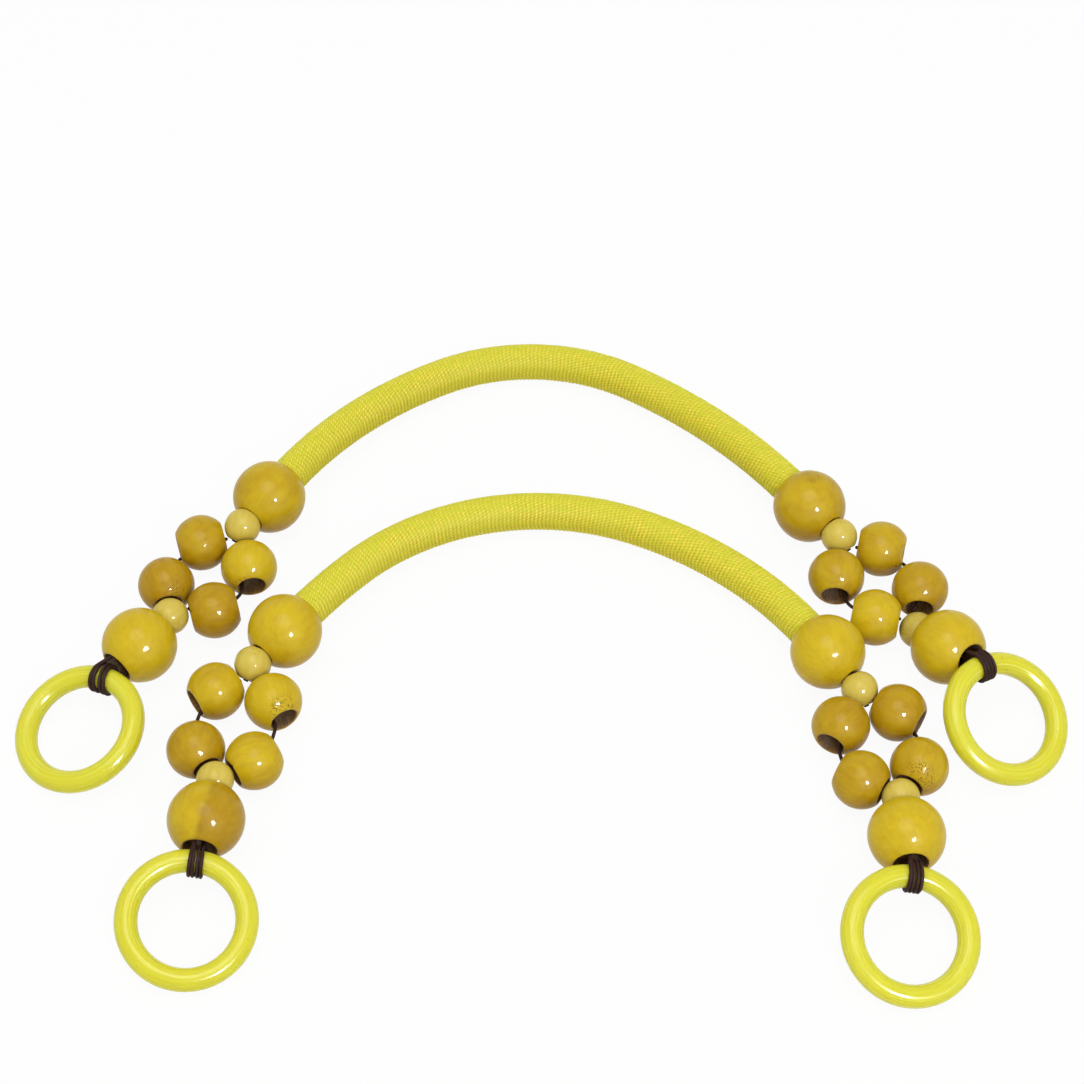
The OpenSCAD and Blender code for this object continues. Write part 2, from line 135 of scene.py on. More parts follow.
# Light and floor: places in metres, linear colours and strengths
LAMP_AIM = Vector((0, 0.02, 0))
WHITE, FLOOR_COLOUR = (1, 1, 1, 1), (0.75, 0.75, 0.74, 1)
SKY_STRENGTH, FLOOR_GLOW, FLOOR_HALF = 0.54, 0.94, 6


def unit(v):
    v = np.asarray(v, float)
    return v / np.linalg.norm(v)


def unit_rows(p):
    """Each row at length 1."""
    return p / np.linalg.norm(p, axis=1)[:, None]


def spot(joint):
    """Place of a joint in mm."""
    return np.array(joints[joint]["pos_m"], float) / MM


def way(joint):
    """Direction of a joint's axis."""
    return unit(joints[joint]["axis"])


def facing(right, down):
    """Direction on a ball that the camera sees this far right of and below its middle, in radii."""
    depth = math.sqrt(max(0.0, 1 - right * right - down * down))
    return right * RIGHT - down * IMAGE_UP + depth * TO_CAMERA


def basis(axis, hint=UP):
    """Rows x, y and z of a frame whose z is the axis; a hint close to the axis isn't used."""
    z = unit(axis)
    if abs(z @ hint) > 0.95:
        hint = RIGHT
    x = unit(np.cross(hint, z))
    return np.array([x, np.cross(z, x), z])


def turn(a, axis):
    """Rotation about x or z."""
    c, s = math.cos(a), math.sin(a)
    if axis == "x":
        return np.array([[1, 0, 0], [0, c, -s], [0, s, c]])
    return np.array([[c, -s, 0], [s, c, 0], [0, 0, 1]])


def circle(count):
    """Angles evenly round a turn."""
    return np.arange(count) * TAU / count


def lengths(path):
    """Length along a path at each of its points."""
    return np.concatenate([[0], np.cumsum(np.linalg.norm(np.diff(path, axis=0), axis=1))])


def wobble(p, size, seed, waves=12):
    """Smooth seeded noise between about -1 and 1."""
    rng = np.random.RandomState(seed)
    k = rng.normal(size=(waves, 3))
    k *= (TAU / size * rng.uniform(0.6, 1.4, waves) / np.linalg.norm(k, axis=1))[:, None]
    return np.sin(p @ k.T + rng.uniform(0, TAU, waves)).sum(axis=1) / math.sqrt(waves)


def step(x, low, high):
    """Smooth step from 0 to 1."""
    t = np.clip((x - low) / (high - low), 0, 1)
    return t * t * (3 - 2 * t)


def piece(name, points, faces, materials, body, stands_for, values, face_slots=None):
    """Mesh piece from points in mm, with named values on its points for the materials."""
    mesh = bpy.data.meshes.new(name)
    mesh.from_pydata((points * MM).tolist(), [], faces)
    for key, data in values.items():
        kind, field = ("FLOAT", "value") if data.ndim == 1 else ("FLOAT_VECTOR", "vector")
        layer = mesh.attributes.new(key, kind, "POINT")
        layer.data.foreach_set(field, data.astype(np.float32).ravel())
    for m in materials:
        mesh.materials.append(m)
    if face_slots is not None:
        mesh.polygons.foreach_set("material_index", np.asarray(face_slots, np.int32))
    mesh.polygons.foreach_set("use_smooth", np.ones(len(mesh.polygons), bool))
    mesh.update()
    obj = bpy.data.objects.new(name, mesh)
    scene.collection.objects.link(obj)
    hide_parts(*stands_for)
    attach(obj, body)


def band_faces(a, b, cols, flip=False):
    """Quads between two rings of points that start at a and b."""
    faces = []
    for j in range(cols):
        k = (j + 1) % cols
        quad = (a + j, b + j, b + k, a + k)
        faces.append(quad[::-1] if flip else quad)
    return faces


def grid_faces(rows, cols, close_rows=False, first=0, flip=False):
    """Quads over rings of points, one ring a row."""
    faces = []
    for i in range(rows if close_rows else rows - 1):
        faces += band_faces(first + i * cols, first + (i + 1) % rows * cols, cols, flip)
    return faces


def colour(code):
    """Linear colour from an sRGB hex code."""
    parts = [int(code[i:i + 2], 16) / 255 for i in (0, 2, 4)]
    return tuple(c / 12.92 if c <= 0.04045 else ((c + 0.055) / 1.055) ** 2.4 for c in parts) + (1.0,)


class Shade:
    """Short way to write a node material."""

    # Sockets of the mix node that are its factor and its colours
    MIX_SHARE, MIX_A, MIX_B, MIX_RESULT = 0, 6, 7, 2

    def __init__(self, name):
        self.material = bpy.data.materials.new(name)
        self.material.use_nodes = True
        self.tree = self.material.node_tree
        self.tree.nodes.clear()
        self.out = self.add("ShaderNodeOutputMaterial")

    def add(self, kind, inputs=(), **settings):
        node = self.tree.nodes.new(kind)
        for key, value in settings.items():
            setattr(node, key, value)
        for key, value in dict(inputs).items():
            if isinstance(value, bpy.types.NodeSocket):
                self.tree.links.new(value, node.inputs[key])
            else:
                node.inputs[key].default_value = value
        return node

    def value(self, name, vector=False):
        node = self.add("ShaderNodeAttribute", attribute_name=name)
        return node.outputs["Vector" if vector else "Fac"]

    def place(self):
        """Place on the object, in metres."""
        return self.add("ShaderNodeTexCoord").outputs["Object"]

    def noise(self, vector, scale, stretch=None, detail=2.0, rough=0.5, distortion=0.0):
        if stretch is not None:
            vector = self.add("ShaderNodeMapping", {"Vector": vector, "Scale": stretch}).outputs["Vector"]
        return self.add("ShaderNodeTexNoise", {
            "Vector": vector, "Scale": scale, "Detail": detail, "Roughness": rough,
            "Distortion": distortion}).outputs["Fac"]

    def ramp(self, value, low, high, bottom=0.0, top=1.0):
        return self.add("ShaderNodeMapRange", {
            "Value": value, "From Min": low, "From Max": high, "To Min": bottom, "To Max": top},
            interpolation_type="SMOOTHSTEP").outputs["Result"]

    def mix(self, share, a, b):
        inputs = {self.MIX_SHARE: share, self.MIX_A: a, self.MIX_B: b}
        return self.add("ShaderNodeMix", inputs, data_type="RGBA").outputs[self.MIX_RESULT]

    def math(self, operation, a, b):
        return self.add("ShaderNodeMath", {0: a, 1: b}, operation=operation).outputs[0]

    def bump(self, height, distance, normal=None, strength=1.0):
        inputs = {"Height": height, "Distance": distance, "Strength": strength}
        if normal is not None:
            inputs["Normal"] = normal
        return self.add("ShaderNodeBump", inputs).outputs["Normal"]

    def surface(self, **inputs):
        inputs = {key.replace("_", " "): value for key, value in inputs.items()}
        shader = self.add("ShaderNodeBsdfPrincipled", inputs)
        self.tree.links.new(shader.outputs[0], self.out.inputs["Surface"])
        return self.material


def lacquered_wood(name, yellow, orange, marked, worn, coat):
    """Stained and lacquered wood; tone goes from the yellow set to the orange one, and carries the beads' painted
    shade as well as their stain.
    """
    m = Shade(name)
    grain = m.value("grain", True)
    broad = m.noise(grain, 0.10, detail=2.0)
    bands = m.noise(grain, 1.0, (0.05, 0.5, 0.5), detail=3.0, rough=0.6, distortion=0.4)
    streaks = m.noise(grain, 1.0, (0.16, 2.6, 2.6), detail=3.0, rough=0.6)
    pores = m.noise(grain, 1.0, (0.9, 7.5, 7.5), detail=1.0)
    specks = m.noise(grain, 1.7, detail=0.0)
    tone = m.math("ADD", m.value("tone"), m.ramp(broad, 0.3, 0.7, -0.16, 0.16))
    tints = []
    for dark, middle, light in (yellow, orange):
        tint = m.mix(m.ramp(bands, 0.2, 0.8), colour(dark), colour(middle))
        tints.append(m.mix(m.ramp(streaks, 0.42, 0.8, 0.0, 0.4), tint, colour(light)))
    # The tone holds each bead's stain and its painted shade on the lower side
    tint = m.mix(m.ramp(tone, 0.0, 1.0), *tints)
    tint = m.mix(m.ramp(pores, 0.62, 0.76, 0.0, 0.10), tint, colour(marked))
    tint = m.mix(m.ramp(specks, 0.80, 0.825, 0.0, 0.4), tint, colour(marked))
    tint = m.mix(m.value("mark"), tint, colour(marked))
    dents = m.add("ShaderNodeTexVoronoi", {"Vector": grain, "Scale": 1.5}).outputs["Distance"]
    dents = m.math("MULTIPLY", m.ramp(dents, 0.12, 0.42, 1.0, 0.0), m.value("pits"))
    tint = m.mix(m.math("MULTIPLY", dents, 0.3), tint, colour(marked))
    tint = m.mix(m.value("raw"), tint, colour(worn))
    gloss = m.ramp(streaks, 0.3, 0.7, 0.42, 0.54)
    gloss = m.math("ADD", gloss, m.math("MULTIPLY", m.value("raw"), 0.3))
    height = m.math("ADD", streaks, m.math("MULTIPLY", pores, -0.5))
    normal = m.bump(height, 0.02 * MM, strength=0.35)
    normal = m.bump(m.math("MULTIPLY", dents, -1.0), 0.4 * MM, normal)
    return m.surface(
        Base_Color=tint, Roughness=gloss, Normal=normal, Coat_Normal=normal,
        Specular_IOR_Level=0.08, Coat_Weight=coat, Coat_IOR=1.3, Coat_Roughness=0.035)


def bare_wood_and_shade():
    """Bare wood of the bores, its colour darkened as painted shade inside them."""
    m = Shade("bare_wood_and_shade")
    grain = m.value("grain", True)
    fibres = m.noise(grain, 1.0, (0.3, 3.0, 3.0), detail=4.0, rough=0.65)
    patches = m.noise(grain, 0.4, detail=2.0)
    # Bare wood colours, darkened as painted shade inside the bores
    tint = m.mix(m.ramp(fibres, 0.3, 0.7), colour("5A3B18"), colour("8E6A30"))
    tint = m.mix(m.ramp(patches, 0.45, 0.7, 0.0, 0.6), tint, colour("482D12"))
    return m.surface(Base_Color=tint, Roughness=0.8, Normal=m.bump(fibres, 0.12 * MM, strength=0.8))


def sleeve_fabric():
    """Lemon knit, with painted shade in its gaps and painted highlights on the crowns of its stitches."""
    m = Shade("sleeve_fabric")
    where = m.place()
    fibres = m.noise(where, 5200.0, detail=3.0, rough=0.7)
    fade = m.noise(where, 55.0, detail=2.0)
    tint = m.mix(m.value("tint"), colour("D8DC38"), colour("DABE1A"))
    # Painted shade in the gaps between stitches, and painted highlight on their crowns
    tint = m.mix(m.ramp(m.value("relief_and_shade"), 0.1, 0.85, 1.0, 0.0), tint, colour("B0A000"))
    tint = m.mix(m.ramp(m.value("relief_and_shade"), 0.7, 0.95, 0.0, 0.9), tint, colour("F2F070"))
    tint = m.mix(m.ramp(fade, 0.35, 0.7, 0.0, 0.25), tint, colour("CDCB36"))
    tint = m.mix(m.ramp(fibres, 0.35, 0.75, 0.0, 0.25), tint, colour("BEB728"))
    return m.surface(
        Base_Color=tint, Roughness=0.62, Normal=m.bump(fibres, 0.08 * MM, strength=0.6),
        Sheen_Weight=0.8, Sheen_Roughness=0.45, Sheen_Tint=colour("F2EE6A"), Specular_IOR_Level=0.25)


def ring_resin():
    """Cast lemon resin with pale streaks along the ring."""
    m = Shade("ring_resin")
    lay = m.value("lay", True)
    where = m.place()
    streaks = m.noise(lay, 3.2, (1.0, 1.0, 0.14), detail=4.0, rough=0.6)
    cloud = m.noise(where, 90.0, detail=2.0)
    specks = m.noise(where, 700.0, detail=0.0)
    tint = m.mix(m.ramp(streaks, 0.3, 0.7), colour("CFCB2A"), colour("D6D43C"))
    tint = m.mix(m.ramp(streaks, 0.56, 0.70, 0.0, 0.75), tint, colour("EEEE9A"))
    tint = m.mix(m.ramp(cloud, 0.35, 0.7, 0.0, 0.35), tint, colour("D6CB26"))
    tint = m.mix(m.ramp(specks, 0.855, 0.87, 0.0, 0.5), tint, colour("8A7F18"))
    gloss = m.ramp(streaks, 0.35, 0.7, 0.2, 0.34)
    return m.surface(
        Base_Color=tint, Roughness=gloss, Normal=m.bump(streaks, 0.03 * MM, strength=0.4),
        Specular_IOR_Level=0.2, Subsurface_Weight=0.85, Subsurface_Radius=(5 * MM, 4.5 * MM, 1.2 * MM),
        Subsurface_Scale=1.0, Coat_Weight=0.25, Coat_Roughness=0.05)


def dark_cord():
    """Brown cord with lengthwise plies and a little fluff."""
    m = Shade("dark_cord")
    lines = m.noise(m.value("lay", True), 3.2, detail=3.0, rough=0.6)
    fluff = m.noise(m.place(), 6500.0, detail=2.0, rough=0.7)
    tint = m.mix(m.ramp(lines, 0.3, 0.7), colour("1E110D"), colour("452B25"))
    tint = m.mix(m.ramp(fluff, 0.55, 0.8, 0.0, 0.35), tint, colour("553A33"))
    height = m.math("ADD", lines, m.math("MULTIPLY", fluff, 0.5))
    return m.surface(
        Base_Color=tint, Roughness=0.58, Normal=m.bump(height, 0.1 * MM, strength=0.8),
        Specular_IOR_Level=0.12)


def core_rubber():
    """Pale dusty rubber of the tube inside the sleeve."""
    m = Shade("core_rubber")
    where = m.place()
    dust = m.noise(where, 400.0, detail=3.0, rough=0.6)
    skin = m.noise(where, 3000.0, detail=2.0)
    tint = m.mix(m.ramp(dust, 0.3, 0.7), colour("BDBDB2"), colour("D2D2C8"))
    return m.surface(
        Base_Color=tint, Roughness=m.ramp(dust, 0.3, 0.7, 0.55, 0.75), Normal=m.bump(skin, 0.05 * MM))


WOOD = lacquered_wood(
    "bead_lacquer", yellow=("C4A412", "D0B418", "D6BC32"), orange=("A67E08", "B48E0E", "BC9A20"),
    marked="7A5212", worn="B48A3A", coat=0.5)
PALE_WOOD = lacquered_wood(
    "spacer_lacquer", yellow=("C8B042", "D2BD52", "DAC86C"), orange=("BE9A36", "CAA844", "D2B258"),
    marked="8A6A1C", worn="C8A850", coat=0.7)
BORE_WOOD_AND_SHADE = bare_wood_and_shade()
FABRIC = sleeve_fabric()
RESIN = ring_resin()
CORD = dark_cord()
RUBBER = core_rubber()


def rim(r, hole_r, edge_r):
    """Rounded edge of a hole, from its wall to the ball, as radii and heights above the middle."""
    x = hole_r + edge_r
    z = math.sqrt((r - edge_r) ** 2 - x * x)
    angles = np.linspace(math.pi, math.atan2(z, x), RIM_ROWS)
    return [(x + edge_r * math.cos(a), z + edge_r * math.sin(a)) for a in angles]


def bead_section(r, bore_r, edge_r, socket, ball_rows):
    """Half section of a bead, as radii and heights: upper rim, ball, lower rim and bore."""
    top = rim(r, bore_r, edge_r)
    low = rim(r, SOCKET_R, NARROW_EDGE_R) if socket else top
    bottom = [(x, -z) for x, z in reversed(low)]
    first, last = (math.atan2(z, x) for x, z in (top[-1], bottom[0]))
    ball = [(r * math.cos(a), r * math.sin(a)) for a in np.linspace(first, last, ball_rows)[1:-1]]
    if socket:
        bore = [(SOCKET_R, z) for z in np.linspace(bottom[-1][1], -SOCKET_FLOOR, SOCKET_ROWS)[1:]]
        bore += [((SOCKET_R + bore_r) / 2, -SOCKET_FLOOR)]
        bore += [(bore_r, z) for z in np.linspace(-SOCKET_FLOOR, top[0][1], COLLAR_BORE_ROWS)[:-1]]
    else:
        bore = [(bore_r, z) for z in np.linspace(bottom[-1][1], top[0][1], BORE_ROWS)[1:-1]]
    return top, ball, bottom, bore


def bead_marks(p, r, axes, marks, seed):
    """Stain, pits and change of tone, from marks of a kind, direction, size and strength."""
    stain, pits, shift = np.zeros(len(p)), np.zeros(len(p)), np.zeros(len(p))
    for kind, direction, size, strength in marks:
        n = axes @ unit(direction)
        far = np.linalg.norm(p - n * r, axis=1)
        if kind == "pits":
            pits = np.maximum(pits, strength * (1 - step(far, PITS_CORE * size, size)))
        elif kind == "knot":
            rings = 1 - KNOT_CONTRAST + KNOT_CONTRAST * np.cos(far / size * KNOT_RINGS)
            stain = np.maximum(stain, strength * np.exp(-(far / size) ** 2) * rings)
        else:
            across = p @ n / size
            uneven = 1 - BAND_CONTRAST + BAND_CONTRAST * wobble(p, BAND_WAVE, seed + 9)
            stain = np.maximum(stain, strength * np.exp(-across ** 2) * uneven)
            shift = shift + BAND_TONE * step(across, *BAND_LIMITS)
    return np.clip(stain, 0, 1), pits, shift


def bead(name, at, axis, r, bore_r, edge_r, body, seed, tone=0.0, socket=False, cup=None, cuts=(), marks=(),
         chips=5, lacquer=WOOD):
    """Turned wooden bead with its wear; cup is the middle of a spacer that sits in it."""
    rng = np.random.RandomState(seed)
    ball_rows = BALL_ROWS if cup is None else CUPPED_BALL_ROWS
    top, ball, bottom, bore = bead_section(r, bore_r, edge_r, socket, ball_rows)
    line = np.array(top + ball + bottom + bore)
    rows, cols = len(line), BEAD_COLS
    a = circle(cols)
    across, height = line[:, :1], np.repeat(line[:, 1:], cols, axis=1)
    p = np.stack([across * np.cos(a), across * np.sin(a), height], axis=2).reshape(-1, 3)
    out = unit_rows(p)
    axes = basis(axis)

    # Slightly uneven turning, a few flats, and chips at the edges of the bore
    lost = BROAD_WEAR * (1 + wobble(out * r, BROAD_WAVE, seed)) / 2
    lost = np.clip(lost + FINE_WEAR * (1 + wobble(out * r, FINE_WAVE, seed + 1)) / 2, 0.0, None)
    cuts = list(cuts) + [(None, rng.uniform(*FLAT_DEPTH)) for _ in range(FLATS)]
    flat = np.zeros(len(p))
    for direction, depth in cuts:
        n = unit(rng.normal(size=3)) if direction is None else axes @ unit(direction)
        over = out @ n * r - (r - depth)
        flat = np.maximum(flat, np.where(over > 0, over / np.maximum(out @ n, FLAT_LEAST), 0))
    lost = lost + flat
    bare = np.zeros(len(p))
    edge_x, edge_z = top[-1]
    heights = [edge_z] if socket else [edge_z, -edge_z]
    for k in range(chips):
        height = heights[rng.randint(len(heights))]
        angle = rng.uniform(0, TAU)
        size = rng.uniform(*CHIP_SIZE) * r / LARGE_R
        from_axis = edge_x + rng.uniform(*CHIP_PLACE)
        middle = np.array([from_axis * math.cos(angle), from_axis * math.sin(angle), height])
        far = np.linalg.norm((p - middle) * [1, 1, CHIP_FLAT], axis=1)
        near = 1 - step(far + CHIP_WOBBLE * wobble(p, CHIP_WAVE, seed + k), CHIP_CORE * size, size)
        lost = lost + near * rng.uniform(*CHIP_DEPTH)
        bare = np.maximum(bare, near * rng.uniform(*CHIP_BARE))
    stain, pits, shift = bead_marks(p, r, axes, marks, seed)
    p = p - out * lost[:, None]
    if cup is not None:
        away = p - axes @ (cup - at)
        far = np.linalg.norm(away, axis=1)[:, None]
        p = p + away / far * np.clip(SPACER_R + CUP_GAP - far, 0, None)

    # The grain leans a little from the axis, and starts at a random place in the wood
    lie = axes @ unit(axes[2] + rng.normal(size=3) * GRAIN_LEAN)
    turned = basis(lie, unit(rng.normal(size=3)))
    grain = p @ turned[[2, 0, 1]].T + rng.uniform(-GRAIN_SPAN, GRAIN_SPAN, 3)

    # The bore and the inner half of its edges are bare wood, darkened as painted shade, and the outer half is worn
    half, low = RIM_ROWS // 2, RIM_ROWS + len(ball)
    inner = np.zeros(rows, int)
    inner[:half] = 1
    inner[low + RIM_ROWS - half:] = 1
    worn = np.zeros(rows)
    worn[half:RIM_ROWS] = np.linspace(EDGE_BARE, 0.0, RIM_ROWS - half)
    worn[low:low + half + 1] = np.linspace(0.0, EDGE_BARE, half + 1)
    worn = np.repeat(worn, cols) * np.clip(BARE_SHARE * (1 + wobble(p, BARE_WAVE, seed + 5)), 0, 1)
    tone = tone + shift + rng.uniform(-TONE_SPREAD, TONE_SPREAD)
    # Painted shade: the side that faces down and toward the camera goes deeper orange
    tone = tone + PAINTED_SHADE_TONE * step(out @ (axes @ PAINTED_SHADE_SIDE), *PAINTED_SHADE_LIMITS)
    values = {
        "grain": grain, "raw": np.clip(np.maximum(bare, worn), 0, 1), "mark": stain, "pits": pits,
        "tone": tone}
    piece(
        name, at + p @ axes, grid_faces(rows, cols, close_rows=True), [lacquer, BORE_WOOD_AND_SHADE], body,
        [name.replace("_turned", "_bead")], values, np.repeat(inner, cols))


class Grip:
    """Centre-line of a grip, by its length from the top of its arc; the left side is below zero."""

    def __init__(self, name):
        made = GRIPS[name]
        self.radii, self.sweeps = made["r"], [math.radians(s) for s in made["sweep"]]
        x, y, heading = made["place"]
        left, right = self.flat(-self.length(-1))[0], self.flat(self.length(1))[0]
        chord = right - left
        self.middle = (left + right) / 2
        across = math.atan2(chord[1], chord[0])
        normal = np.array([-math.sin(across), math.cos(across)])
        height = (np.array([0, -self.radii[1]]) - self.middle) @ normal + self.radii[1]
        tilt = math.asin((LARGE_R - GRIP_R) / height)
        self.rows = turn(math.radians(heading), "z") @ turn(-tilt, "x") @ turn(-across, "z")
        self.place = np.array([x, y, LARGE_R])

    def length(self, side):
        """Length from the top of the arc to the middle of a side's collar bead."""
        k = 0 if side < 0 else 2
        return self.radii[1] * self.sweeps[1] / 2 + self.radii[k] * self.sweeps[k] + GRIP_STRAIGHT

    def flat(self, s):
        """Point and outward normal in the grip's own plane."""
        side = -1 if s < 0 else 1
        k, t = (0 if s < 0 else 2), abs(s)
        middle_r, half = self.radii[1], self.sweeps[1] / 2
        r, sweep = self.radii[k], self.sweeps[k]
        centre = np.array([0.0, -middle_r])
        if t <= middle_r * half:
            ray = np.array([side * math.sin(t / middle_r), math.cos(t / middle_r)])
            return centre + middle_r * ray, ray
        centre = centre + (middle_r - r) * np.array([side * math.sin(half), math.cos(half)])
        a = half + min((t - middle_r * half) / r, sweep)
        ray = np.array([side * math.sin(a), math.cos(a)])
        rest = max(0.0, t - middle_r * half - r * sweep)
        return centre + r * ray + rest * np.array([side * math.cos(a), -math.sin(a)]), ray

    def at(self, s):
        """Point, outward normal and upward normal in the part's frame."""
        point, ray = self.flat(s)
        place = self.place + self.rows @ np.append(point - self.middle, 0)
        return place, self.rows @ np.append(ray, 0), self.rows @ UP

    def collar(self, side):
        """Middle of a side's collar bead, and the way out along its bore."""
        point, ray, up = self.at(side * self.length(side))
        return point, unit(np.cross(ray, up) * side)


def sleeve(name, grip, seed):
    """Knitted cover: fine slanted stitches that step round it, drawn into ribs inside the bend."""
    rng = np.random.RandomState(seed)
    first, last = (side * (grip.length(side) - SOCKET_FLOOR - SEAT_GAP) for side in (-1, 1))
    ribs = int(round((last - first) / RIB_PITCH))
    rows, cols = ribs * RIB_ROWS + 1, STITCHES * STITCH_COLS
    line = [grip.at(s) for s in np.linspace(first, last, rows)]
    centre, ray, up = (np.array(part) for part in zip(*line))
    angle = circle(cols)
    inside = (0.5 - 0.5 * np.cos(angle - INSIDE_TURN))[None, :] ** INSIDE_POWER

    def graded(outside, added):
        return outside + added * inside

    # Each point's rib and stitch, and its height between the gaps and the crowns
    u = np.linspace(0, ribs, rows)[:, None] + RIB_WAVE * np.sin(RIB_WAVES * angle + seed)
    number = np.floor(u).astype(int)
    part = u - number
    v = (np.arange(cols) / STITCH_COLS)[None, :] + STITCH_STEP * number + STITCH_SLANT * part
    stitch = np.floor(v).astype(int) % STITCHES
    rib = np.sin(math.pi * part) ** CROWN_POWER
    bump = np.sin(math.pi * (v - np.floor(v))) ** CROWN_POWER
    relief_and_shade = 1 - np.clip((1 - rib) * graded(*RIB_GAP) + (1 - bump) * graded(*STITCH_GAP), 0, 1)
    chance = rng.uniform(-1, 1, (ribs + 4, STITCHES))[np.clip(number + 2, 0, ribs + 3), stitch]
    radius = GRIP_R - graded(*KNIT_DEPTH) * (1 - relief_and_shade) - STITCH_DEPTH * (1 + chance)
    gold = graded(*KNIT_GOLD) + ODD_RIB_GOLD * inside * (number % 2) + STITCH_GOLD * chance
    # Painted light: low in the gaps as painted shade, high on the crowns as painted highlight, deeper inside the
    # bend and varied from stitch to stitch
    shade = (1 - (1 - relief_and_shade) * graded(*KNIT_SHADE)) * (1 - STITCH_SHADE + STITCH_SHADE * chance)

    def tube(chosen, r):
        round_it = np.cos(angle)[None, :, None] * ray[chosen][:, None]
        round_it = round_it + np.sin(angle)[None, :, None] * up[chosen][:, None]
        return (centre[chosen][:, None] + r * round_it).reshape(-1, 3)

    # Plain lining, so that the cover is a closed tube
    few = np.linspace(0, rows - 1, rows // LINING_STEP).round().astype(int)
    points = np.concatenate([tube(np.arange(rows), radius[..., None]), tube(few, SLEEVE_INNER_R)])
    lined = rows * cols
    faces = grid_faces(rows, cols, flip=True) + grid_faces(len(few), cols, first=lined)
    faces += band_faces(0, lined, cols)
    faces += band_faces((rows - 1) * cols, lined + (len(few) - 1) * cols, cols, flip=True)
    plain = np.zeros(len(few) * cols)
    values = {
        "relief_and_shade": np.concatenate([shade.ravel(), plain]),
        "tint": np.concatenate([np.clip(gold, 0, 1).ravel(), plain])}
    piece(f"{name}_sleeve_knit", points, faces, [FABRIC], f"{name}_grip",
          [f"{name}_grip_sleeve"], values)


def cord_tube(path, r, seed, hint=UP, wide=1.0, closed=False):
    """Tube of fine lengthwise plies along a path; wide scales it along the hint."""
    rng = np.random.RandomState(seed)
    path = np.asarray(path, float)
    if closed:
        along = unit_rows(np.roll(path, -1, axis=0) - np.roll(path, 1, axis=0))
    else:
        along = unit_rows(np.gradient(path, axis=0))
    across = unit_rows(np.cross(along, np.broadcast_to(np.asarray(hint, float), path.shape)))
    other = np.cross(along, across)
    rows, cols = len(path), CORD_COLS
    a = circle(cols)[None, :]
    gone = lengths(path)[:, None]
    twist = CORD_TWIST * gone + rng.uniform(0, PHASE)
    plies = 0.5 + 0.5 * np.cos(CORD_PLIES * a + twist)
    radius = r * (1 - PLY_DEPTH * (1 - plies) - PLY_FUZZ * rng.uniform(0, 1, (rows, cols)))
    x, y = np.cos(a) * radius, np.sin(a) * radius * wide
    p = path[:, None] + x[..., None] * across[:, None] + y[..., None] * other[:, None]
    x, y, z = np.cos(a) * CORD_LAY_ROUND, np.sin(a) * CORD_LAY_ROUND, gone * CORD_LAY_ALONG + seed
    lay = np.stack(np.broadcast_arrays(x, y, z), axis=2)
    faces = grid_faces(rows, cols, close_rows=closed)
    points, lays = p.reshape(-1, 3), lay.reshape(-1, 3)
    if not closed:
        points = np.concatenate([points, path[:1], path[-1:]])
        lays = np.concatenate([lays, lays[:1], lays[-1:]])
        start, end, last_row = rows * cols, rows * cols + 1, (rows - 1) * cols
        for j in range(cols):
            k = (j + 1) % cols
            faces.append((start, j, k))
            faces.append((end, last_row + k, last_row + j))
    return points, faces, lays


def cords(name, tubes, body, stands_for):
    """One piece of several cord tubes."""
    points, faces, lays, count = [], [], [], 0
    for p, f, lay in tubes:
        points.append(p)
        lays.append(lay)
        faces += [tuple(i + count for i in face) for face in f]
        count += len(p)
    piece(name, np.concatenate(points), faces, [CORD], body, stands_for,
          {"lay": np.concatenate(lays)})


def smooth_line(points, count):
    """Curve through points, evenly spaced, with its corners rounded."""
    points = np.asarray(points, float)
    far = lengths(points)
    even = np.linspace(0, far[-1], count)
    line = np.stack([np.interp(even, far, points[:, k]) for k in range(3)], axis=1)
    for _ in range(CORNER_ROUNDS):
        line[1:-1] = (line[:-2] + 2 * line[1:-1] + line[2:]) / 4
    return line


def lashing(end, seed, pair, gap, fan):
    """Cord out along the ring bead's bore, four turns round the ring in two close pairs, and back."""
    at, axis = spot(f"{end}_ring_flip"), way(f"{end}_ring_flip")
    start, bead_way = spot(f"{end}_bead_swing"), way(f"{end}_ring_bead_spin")
    back = unit(bead_way @ axis * axis - bead_way)
    up = np.cross(axis, back)
    coil_r = RING_R + COIL_GAP + LASHING_R
    starts = [start + STRAND_START * bead_way + edge * CORD_STEP / 2 * up for edge in (1, -1)]
    v = starts[0] - at
    bearing = math.atan2(v @ up, v @ back) + math.acos(coil_r / math.hypot(v @ up, v @ back))
    a = np.linspace(bearing, COIL_TURNS * TAU - bearing, COIL_ROWS)
    passes = (np.arange(COIL_TURNS) + 0.5) * TAU
    lateral = np.interp(a, passes, [-gap / 2 - pair, -gap / 2, gap / 2, gap / 2 + pair])
    lateral = lateral * (1 + fan * (0.5 - 0.5 * np.cos(a)))
    turns = np.cos(a)[:, None] * back + np.sin(a)[:, None] * up
    coil = at + lateral[:, None] * axis + coil_r * turns

    def run(first, last):
        return first + np.linspace(0, 1, RUN_ROWS)[:-1, None] * (last - first)

    path = np.concatenate([run(starts[0], coil[0]), coil, run(starts[1], coil[-1])[::-1]])
    cords(f"{end}_lashing_cord", [cord_tube(path, LASHING_R, seed, hint=axis, wide=LASHING_WIDE)],
          f"{end}_lashing", [f"{end}_lashing"])


